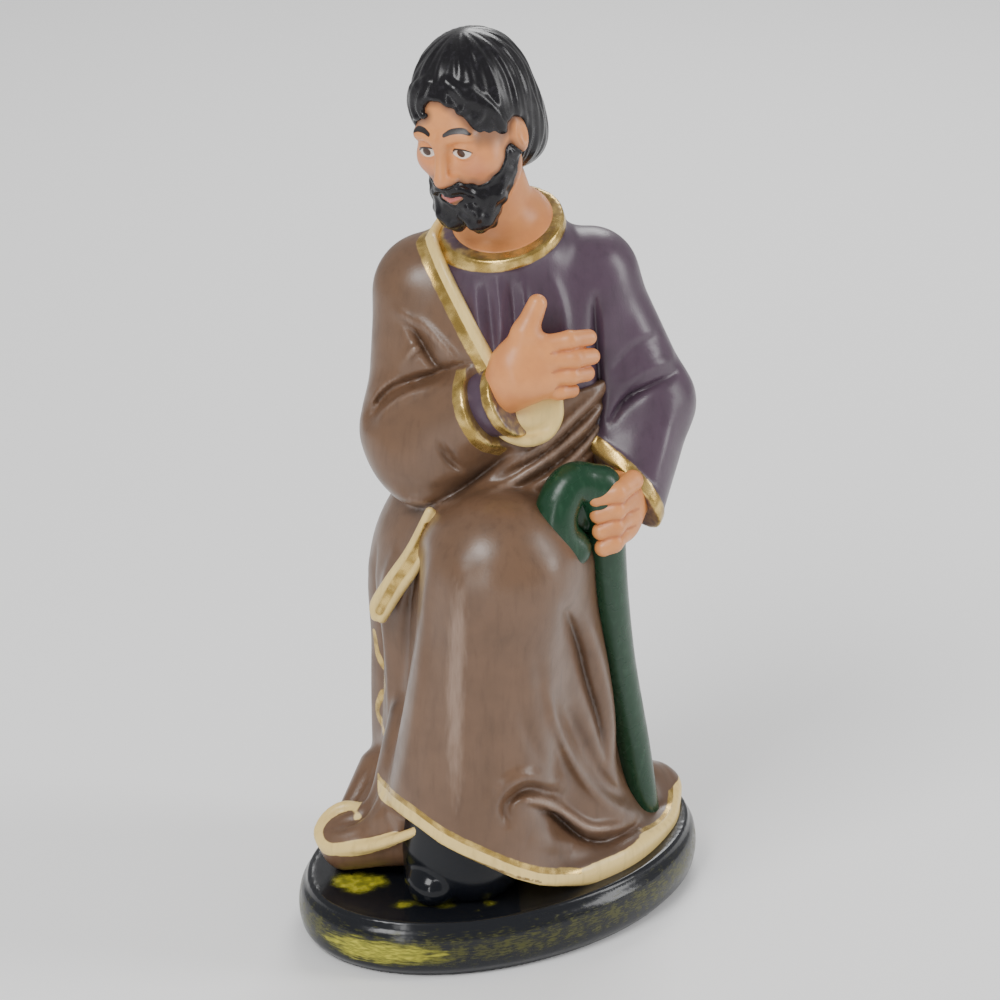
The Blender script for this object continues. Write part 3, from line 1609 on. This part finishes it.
@dataclass
class Head:
    """Head, neck, hair and beard; the face is plain and calm, with lowered lids."""

    tunic: Tunic
    centre: Point = (-8.6, -10.0, 249.0)
    turn: float = -31.0
    nod: float = 17.0
    lean: float = -7.0
    size: float = 0.96
    locks: tuple[tuple[tuple[float, ...], ...], ...] = (
        ((-2, 21.5, 1.6), (-4.2, 18, 2.0), (-5.8, 14.8, 1.7), (-5.2, 12.2, 1.2), (-3.6, 12.4, 0.7)),
        ((-4, 21.5, 1.8), (-8, 17.8, 2.1), (-9.8, 13.6, 1.8), (-8.8, 10.6, 1.3), (-7, 10.8, 0.7)),
        ((-7, 20, 1.8), (-11, 15.5, 2.0), (-12.6, 11, 1.7), (-11.8, 8, 1.2), (-10.2, 8.4, 0.7)),
        ((4, 21.5, 1.6), (7.4, 18.6, 2.0), (9.4, 15.6, 1.7), (9, 13.2, 1.2), (7.6, 13, 0.7)),
        ((6.5, 19.5, 1.8), (10.5, 16, 2.1), (12.8, 12.4, 1.8), (12.4, 9.6, 1.3), (11, 9.6, 0.7)),
        ((10, 18, 2.0), (14.4, 11, 2.1), (15.6, 5, 1.8), (15.4, 1, 1.1)),
        ((-10, 18, 2.0), (-14.4, 11, 2.1), (-15.6, 5, 1.8), (-15.4, 1, 1.1)),
    )

    def here(self, at: Array) -> Array:
        """Points seen from the head, which looks along its own -Y.

        Args:
            at: points, one a row.

        Returns:
            The same points in the head's own frame.
        """
        y, p, r = (math.radians(angle) for angle in (self.turn, self.nod, self.lean))
        about_z = [[math.cos(y), -math.sin(y), 0], [math.sin(y), math.cos(y), 0], [0, 0, 1]]
        about_x = [[1, 0, 0], [0, math.cos(p), -math.sin(p)], [0, math.sin(p), math.cos(p)]]
        about_y = [[math.cos(r), 0, math.sin(r)], [0, 1, 0], [-math.sin(r), 0, math.cos(r)]]
        axes = np.array(about_z) @ np.array(about_x) @ np.array(about_y)
        return (at - vec(*self.centre)) @ axes.astype(np.float32) / self.size

    def neck(self, at: Array) -> Array:
        """The neck and the bare skin inside the collar."""
        column = limb(at, (2, 6, 206), (-5, -3, 232), 12.3, 11.5)
        return melt(column, self.tunic.throat(at), 9)

    def face(self, at: Array) -> Array:
        """Skull, brow, lids, nose, lips and ears.

        Args:
            at: points, one a row.

        Returns:
            The distance from each point, below zero inside.
        """
        here = self.here(at)
        sides = mirrored(here)
        skull = ball(here, (0, 3, 6), (16.5, 20.5, 21))
        front = ball(here, (0, -6, -7), (13.6, 13.5, 19.5))
        chin = limb(sides, (8, -3, -14), (1.5, -13.5, -21.5), 6, 5.5)
        head = melted(7, skull, front, chin)
        cheek = ball(sides, (9, -11.5, -5.5), (5.5, 5.5, 5))
        brow = limb(sides, (1.5, -18.3, 4.4), (9.5, -15.4, 4.8), 1.9, 1.6)
        head = melt(melt(head, cheek, 4), brow, 3)
        head = within(head, -ball(sides, (6.5, -20.6, 0), (5.0, 4.0, 3.9)), 2.2)
        eye = ball(sides, (6.5, -14.5, 0), 3.7)
        lids = within(ball(sides, (6.5, -14.5, 0), 4.3), self.opening(sides), 0.45)
        head = melt(melt(head, eye, 0.4), lids, 0.7)
        bridge = limb(sides, (0, -18.3, 3.2), (0, -22.8, -6.8), 1.7, 2.2)
        tip = ball(sides, (0, -22.8, -7.6), 2.4)
        wing = ball(sides, (2.5, -20.6, -8.4), (1.8, 2.4, 1.7))
        head = melt(head, melted(1.6, bridge, tip, wing), 2.4)
        mouth = ball(here, (0, -16.6, -14.5), (6.5, 4.6, 5.5))
        upper = limb(sides, (0.6, -21.3, -13.3), (4.0, -19.4, -13.9), 1.0, 0.6)
        lower = limb(sides, (0, -21.1, -15.3), (3.0, -19.8, -14.9), 1.3, 0.8)
        head = melt(melt(head, mouth, 3), np.minimum(upper, lower), 0.8)
        ear = ball(sides, (16.4, 0.5, -3.5), (2.1, 3.8, 6.2))
        head = melt(head, ear, 1.5)
        hollow = ball(sides, (18.4, 0.0, -3.2), (1.4, 2.2, 3.8))
        return within(head, -hollow, 0.8) * self.size

    def opening(self, sides: Array) -> Array:
        """Distance inside the almond between the lids, in the head's own frame."""
        away = np.hypot((sides[:, 0] - 6.5) / 3.3, (sides[:, 2] + 0.25) / 1.75)
        return 1.75 * (1 - away)

    def skin(self, at: Array) -> Array:
        """Face and neck."""
        return melt(self.face(at), self.neck(at), 3)

    def on_head(self, lock: tuple[tuple[float, ...], ...]) -> Array:
        """A lock's rows of x, z and radius as a line that lies on the head.

        Args:
            lock: the lock's rows.

        Returns:
            Rows of x, y, z and radius.
        """
        across, up, radius = np.array(lock).T
        share = 1 - (across / 17.4) ** 2 - ((up - 6.5) / 21.8) ** 2
        return np.stack([across, 3.5 - 21.4 * np.sqrt(share), up, radius], 1)

    def hair(self, at: Array) -> Array:
        """Hair combed down from the crown to the nape, parted over the brow into two locks.

        Args:
            at: points, one a row.

        Returns:
            The distance from each point, below zero inside.
        """
        here = self.here(at)
        sides = mirrored(here)
        cap = ball(here, (0, 4, 7), (18.4, 22.4, 22.6))
        nape = melt(ball(here, (0, 13, -8), (16, 12, 16)), ball(here, (0, 19, -15), (11, 6, 8)), 6)
        mass = melt(cap, nape, 8)
        mass = within(mass, -ball(here, (0, -26, -8), (15.5, 24, 27.5)), 1.5)
        mass = within(mass, -ball(sides, (18, -2, -7), (6, 7.5, 10)), 2)
        around = np.arctan2(here[:, 0], 8 - here[:, 1])
        down = here[:, 2] * 0.13
        ridges = np.sin(around * 15 + 1.2 * np.sin(down * 2)) + 0.5 * np.sin(around * 33 - 2 * down)
        crown = np.clip(np.hypot(here[:, 0], here[:, 1] - 8) / 12 - 0.2, 0, 1)
        mass = mass - 0.24 * ridges * crown
        for lock in self.locks:
            mass = melt(mass, rope(here, self.on_head(lock)), 1.2)
        return mass * self.size

    def beard(self, at: Array) -> Array:
        """A short full beard, curled and parted at the chin, with a thin moustache.

        Args:
            at: points, one a row.

        Returns:
            The distance from each point, below zero inside.
        """
        here = self.here(at)
        sides = mirrored(here)
        chin = ball(sides, (4.6, -14.5, -22.5), (6.3, 7.4, 7.6))
        jowl = limb(sides, (13.8, -4, -8), (9.5, -11.5, -17.5), 2.6, 4.6)
        mass = melt(melt(chin, jowl, 4), ball(here, (0, -13, -19), (8, 7, 6)), 2)
        mass = within(mass, -ball(here, (0, -24, -14.4), (5, 6.5, 3)), 1.5)
        moustache = rope(
            sides,
            (
                (0.6, -22.3, -11.2, 0.9),
                (3.8, -21.3, -11.8, 1.3),
                (6.8, -18.6, -14, 1.5),
                (8.6, -15.6, -17, 2.4),
            ),
        )
        curls = np.sin(here[:, 0] * 0.8 + 1) * np.sin(here[:, 2] * 0.8) * np.sin(here[:, 1] * 0.8)
        mass = melt(mass, moustache, 1.2) - 0.7 * curls
        over_skin = np.maximum(self.face(at) / self.size - 0.5, mass - 1.3)
        return melt(mass, over_skin, 0.8) * self.size

    def eye(self, at: Array) -> Array:
        """Distance inside the white of the eye, between the lids."""
        here = mirrored(self.here(at))
        return np.minimum(self.opening(here), -14 - here[:, 1])

    def iris(self, at: Array) -> Array:
        """Distance inside the iris.

        Args:
            at: points, one a row.

        Returns:
            The distance at each point, above zero on the paint.
        """
        here = mirrored(self.here(at))
        disc = 1.5 - np.hypot(here[:, 0] - 6.5, here[:, 2] + 0.1)
        return np.minimum(disc, self.eye(at))

    def line(self, at: Array) -> Array:
        """Distance inside the painted brows and the lash line.

        Args:
            at: points, one a row.

        Returns:
            The distance at each point, above zero on the paint.
        """
        here = mirrored(self.here(at))
        before = np.stack([here[:, 0], np.zeros(len(here)), here[:, 2]], 1).astype(np.float32)
        brow_line = ((2.9, 0, 6.9, 0.6), (5.2, 0, 7.6, 0.85), (8.2, 0, 7.3, 0.75), (10.8, 0, 5.9, 0.3))
        lash_line = ((3.1, 0, -0.2, 0.2), (4.8, 0, 1.3, 0.4), (7.8, 0, 1.3, 0.42), (10, 0, -0.4, 0.25))
        brow, lash = -rope(before, brow_line), -rope(before, lash_line)
        return np.minimum(np.maximum(brow, lash), -11 - here[:, 1])

    def lips(self, at: Array) -> Array:
        """Distance inside the painted lips.

        Args:
            at: points, one a row.

        Returns:
            The distance at each point, above zero on the paint.
        """
        here = mirrored(self.here(at))
        shape = 1 - np.hypot(here[:, 0] / 4.3, (here[:, 2] + 14.3) / (1.9 - 0.16 * here[:, 0]))
        return np.minimum(shape * 1.5, -14 - here[:, 1])

    def blush(self, at: Array) -> Array:
        """How strongly the cheeks, nose and lids are blushed.

        Args:
            at: points, one a row.

        Returns:
            The share at each point.
        """
        here = mirrored(self.here(at))
        cheek = np.exp(-(((here - vec(9.5, -15, -6)) / 4.5) ** 2).sum(1))
        nose = 0.4 * np.exp(-(((here - vec(0, -24, -8)) / 3) ** 2).sum(1))
        return cheek + nose

    def hairline(self, at: Array) -> Array:
        """Distance to the hair and beard, whose dark paint fades into the skin."""
        return np.minimum(self.hair(at), self.beard(at))

    def areas(self) -> list[Area]:
        """Skin, hair and beard.

        Returns:
            The areas to draw.
        """
        kept = {
            "eye": self.eye,
            "iris": self.iris,
            "line": self.line,
            "lips": self.lips,
            "blush": self.blush,
            "edge": self.hairline,
            "groove": flat,
        }
        hair = GlossPaint("hair_paint", (0.006, 0.0052, 0.0068), (0.07, 0.065, 0.08), 0.26, 0.2, shine=0.36)
        return [
            Area("face_and_neck", self.skin, SkinPaint(), 0.44, kept),
            Area("hair", self.hair, hair, 0.5),
            Area("beard", self.beard, hair, 0.42),
        ]


# Hands


@dataclass
class Hands:
    """The right hand on the chest and the left fist round the staff."""

    right_fingers: tuple[tuple[Point, Point, Point, float], ...] = (
        ((13, -27.5, 183.5), (21, -27, 185), (27, -23, 184.5), 3.1),
        ((14, -28.5, 178.8), (22.5, -28, 179.5), (28, -23.5, 178.5), 3.2),
        ((13, -28.5, 173.8), (21.5, -28, 174), (26.5, -24, 173.2), 3.1),
        ((11.5, -27.8, 169.3), (18, -27.5, 168.6), (22, -25, 168), 2.8),
    )

    def fingers(self, at: Array) -> list[Array]:
        """Distance to each finger of the right hand.

        Args:
            at: points, one a row.

        Returns:
            One distance for each finger.
        """
        found = []
        for knuckle, middle, tip, radius in self.right_fingers:
            first = limb(at, knuckle, middle, radius, radius * 0.95)
            found.append(melt(first, limb(at, middle, tip, radius * 0.95, radius * 0.82), 1))
        return found

    def grip(self, at: Array) -> list[Array]:
        """Distance to each finger of the left fist.

        Args:
            at: points, one a row.

        Returns:
            One distance for each finger.
        """
        found = []
        for number in range(4):
            drop = number * 5.5
            joint = (41 - number * 0.8, -25.5, 138.2 - drop)
            middle = (36 - number * 0.4, -32.5, 137 - drop)
            tip = (29.5 + number * 0.8, -33.5, 135.5 - drop)
            found.append(melt(limb(at, joint, middle, 3.4, 3.3), limb(at, middle, tip, 3.3, 2.8), 1.2))
        return found

    def between(self, at: Array) -> Array:
        """How near a point is to the line between two fingers, from nought to one.

        Args:
            at: points, one a row.

        Returns:
            The share at each point.
        """
        deep = np.zeros(len(at), np.float32)
        for fingers in (self.fingers(at), self.grip(at)):
            for first, second in zip(fingers, fingers[1:]):
                near = np.maximum(1.4 - np.abs(first - second), 0) / 1.4
                deep = np.maximum(deep, near * (np.maximum(first, second) < 1.5))
        return deep

    def right(self, at: Array) -> Array:
        """The right hand, fingers together and thumb up.

        Args:
            at: points, one a row.

        Returns:
            The distance from each point, below zero inside.
        """
        palm = melted(
            5,
            limb(at, (-1.5, -24, 165.5), (6, -26.5, 172), 7.2, 7.6),
            limb(at, (5, -26.5, 172.5), (13, -27, 172.5), 7.5, 5.8),
            limb(at, (5, -26.5, 176), (13, -27, 180.5), 7.5, 5.4),
        )
        for finger in self.fingers(at):
            palm = melt(palm, finger, 0.8)
        thumb = melt(
            limb(at, (4, -27, 178), (7.5, -27.5, 187.5), 5.4, 4.1),
            limb(at, (7.5, -27.5, 187.5), (11.2, -25.5, 196.3), 4.0, 3.0),
            2,
        )
        return melt(palm, thumb, 4)

    def left(self, at: Array) -> Array:
        """The left fist, its fingers one above the other.

        Args:
            at: points, one a row.

        Returns:
            The distance from each point, below zero inside.
        """
        back = limb(at, (37, -22, 132.5), (36.5, -23, 123), 7.2, 6.8)
        wrist = limb(at, (43, -9, 130), (37.5, -20, 128.5), 7.8, 7.6)
        fist = melt(back, wrist, 5)
        for finger in self.grip(at):
            fist = melt(fist, finger, 0.7)
        return fist

    def from_hair(self, at: Array) -> Array:
        """A distance so far from the hair that its dark edge doesn't reach."""
        return np.full(len(at), FAR, np.float32)

    def shape(self, at: Array) -> Array:
        """Both hands."""
        return np.minimum(self.right(at), self.left(at))

    def areas(self) -> list[Area]:
        """Their painted area.

        Returns:
            The areas to draw.
        """
        lines = {name: none for name in ("eye", "iris", "line", "lips")}
        kept = {**lines, "blush": flat, "edge": self.from_hair, "groove": self.between}
        return [Area("hands", self.shape, SkinPaint("hand_paint"), 0.5, kept)]


# Staff


@dataclass
class Staff:
    """The staff and its curled crook."""

    line: tuple[tuple[float, ...], ...] = (
        (46.5, 15, 3, 6.5),
        (43, 8, 32, 6),
        (38, -5, 67, 5.6),
        (34.5, -17, 97, 6),
        (32.5, -25, 122, 6.4),
        (31, -29, 138, 6.5),
    )
    crook: tuple[tuple[float, ...], ...] = (
        (31, -29, 131.5, 6.0),
        (28, -30, 138.4, 6.4),
        (21.8, -32, 139.6, 6.6),
        (17.6, -35, 133, 6.8),
        (17.6, -36, 125, 6.8),
        (22, -34, 119.3, 6.3),
    )

    def shape(self, at: Array) -> Array:
        """The staff, its crook filled behind."""
        wood = melt(rope(at, self.line), rope(at, self.crook), 1.5)
        return np.minimum(wood, ball(at, (22, -27, 131), (8.5, 7, 10.5)))

    def areas(self) -> list[Area]:
        """Its painted area.

        Returns:
            The areas to draw.
        """
        green, worn = (0.008, 0.042, 0.018), (0.05, 0.12, 0.07)
        paint = GlossPaint("green_paint", green, worn, 0.28, 0.25, (1.0, 1.0, 5.0), 0.4)
        return [Area("staff", self.shape, paint, 0.6)]


# Studio


@dataclass
class Studio:
    """A pale floor, soft lights and the camera."""

    distance: float = 1.25
    height: float = 0.14
    floor_reach: float = 6.0
    daylight: float = 0.5

    def floor(self) -> None:
        """A wide, plain floor."""
        mesh = bpy.data.meshes.new("floor")
        reach = self.floor_reach
        corners = [(-reach, -reach, 0), (reach, -reach, 0), (reach, reach, 0), (-reach, reach, 0)]
        mesh.from_pydata(corners, [], [(0, 1, 2, 3)])
        s = Shader("floor_paint")
        s.surface((0.95, 0.95, 0.95), 0.7)
        mesh.materials.append(s.material)
        floor = bpy.data.objects.new("floor", mesh)
        bpy.context.scene.collection.objects.link(floor)

    def light(
        self,
        name: str,
        place: Point,
        power: float,
        size: tuple[float, float],
        glint: float = 1.0,
    ) -> None:
        """A soft box that faces the statue.

        Args:
            name: its name.
            place: its middle.
            power: its power in watts.
            size: its width and height.
            glint: how strongly it shows in glossy paint.
        """
        lamp = bpy.data.lights.new(name, "AREA")
        lamp.energy = power
        lamp.shape = "RECTANGLE"
        lamp.size, lamp.size_y = size
        lamp.specular_factor = glint
        holder = bpy.data.objects.new(name, lamp)
        holder.location = place
        aim = Vector((0, 0, self.height)) - Vector(place)
        holder.rotation_euler = aim.to_track_quat("-Z", "Y").to_euler()
        bpy.context.scene.collection.objects.link(holder)

    def camera(self) -> None:
        """The camera at the photograph's angle."""
        lens = bpy.data.cameras.new("camera")
        lens.lens = 141.5
        lens.sensor_width = 36.0
        lens.shift_x = -0.0005
        lens.shift_y = -0.0017
        lens.clip_start = 0.01
        holder = bpy.data.objects.new("camera", lens)
        back = Vector((0, -math.cos(VIEW_TILT), math.sin(VIEW_TILT)))
        holder.location = Vector((0, 0, self.height)) + back * self.distance
        holder.rotation_euler = (-back).to_track_quat("-Z", "Y").to_euler()
        bpy.context.scene.collection.objects.link(holder)
        bpy.context.scene.camera = holder

    def build(self) -> None:
        """Sets up all of it."""
        world = bpy.data.worlds.new("studio")
        world.use_nodes = True
        world.node_tree.nodes["Background"].inputs["Color"].default_value = (1, 1, 1, 1)
        world.node_tree.nodes["Background"].inputs["Strength"].default_value = self.daylight
        bpy.context.scene.world = world
        self.floor()
        self.light("key", (-0.6, -0.9, 1.2), 15, (0.6, 0.6))
        self.light("strip", (-0.42, -1.25, 0.32), 2.6, (0.10, 0.8))
        self.light("side", (1.15, -0.1, 0.6), 8, (0.3, 1.0))
        self.light("back", (0.2, 1.1, 1.0), 9, (0.6, 0.6), 0.25)
        self.camera()


def main() -> None:
    """Builds the statue area by area, then the studio."""
    logging.basicConfig(level=logging.INFO, format="%(message)s")
    plinth = Plinth()
    robe = Robe(plinth)
    tunic = Tunic()
    mantle = Mantle(tunic, robe)
    for assembly in (plinth, Shoe(robe), mantle, tunic, Head(tunic), Hands(), Staff()):
        for area in assembly.areas():
            area.build()
    Studio().build()


if __name__ == "__main__":
    main()
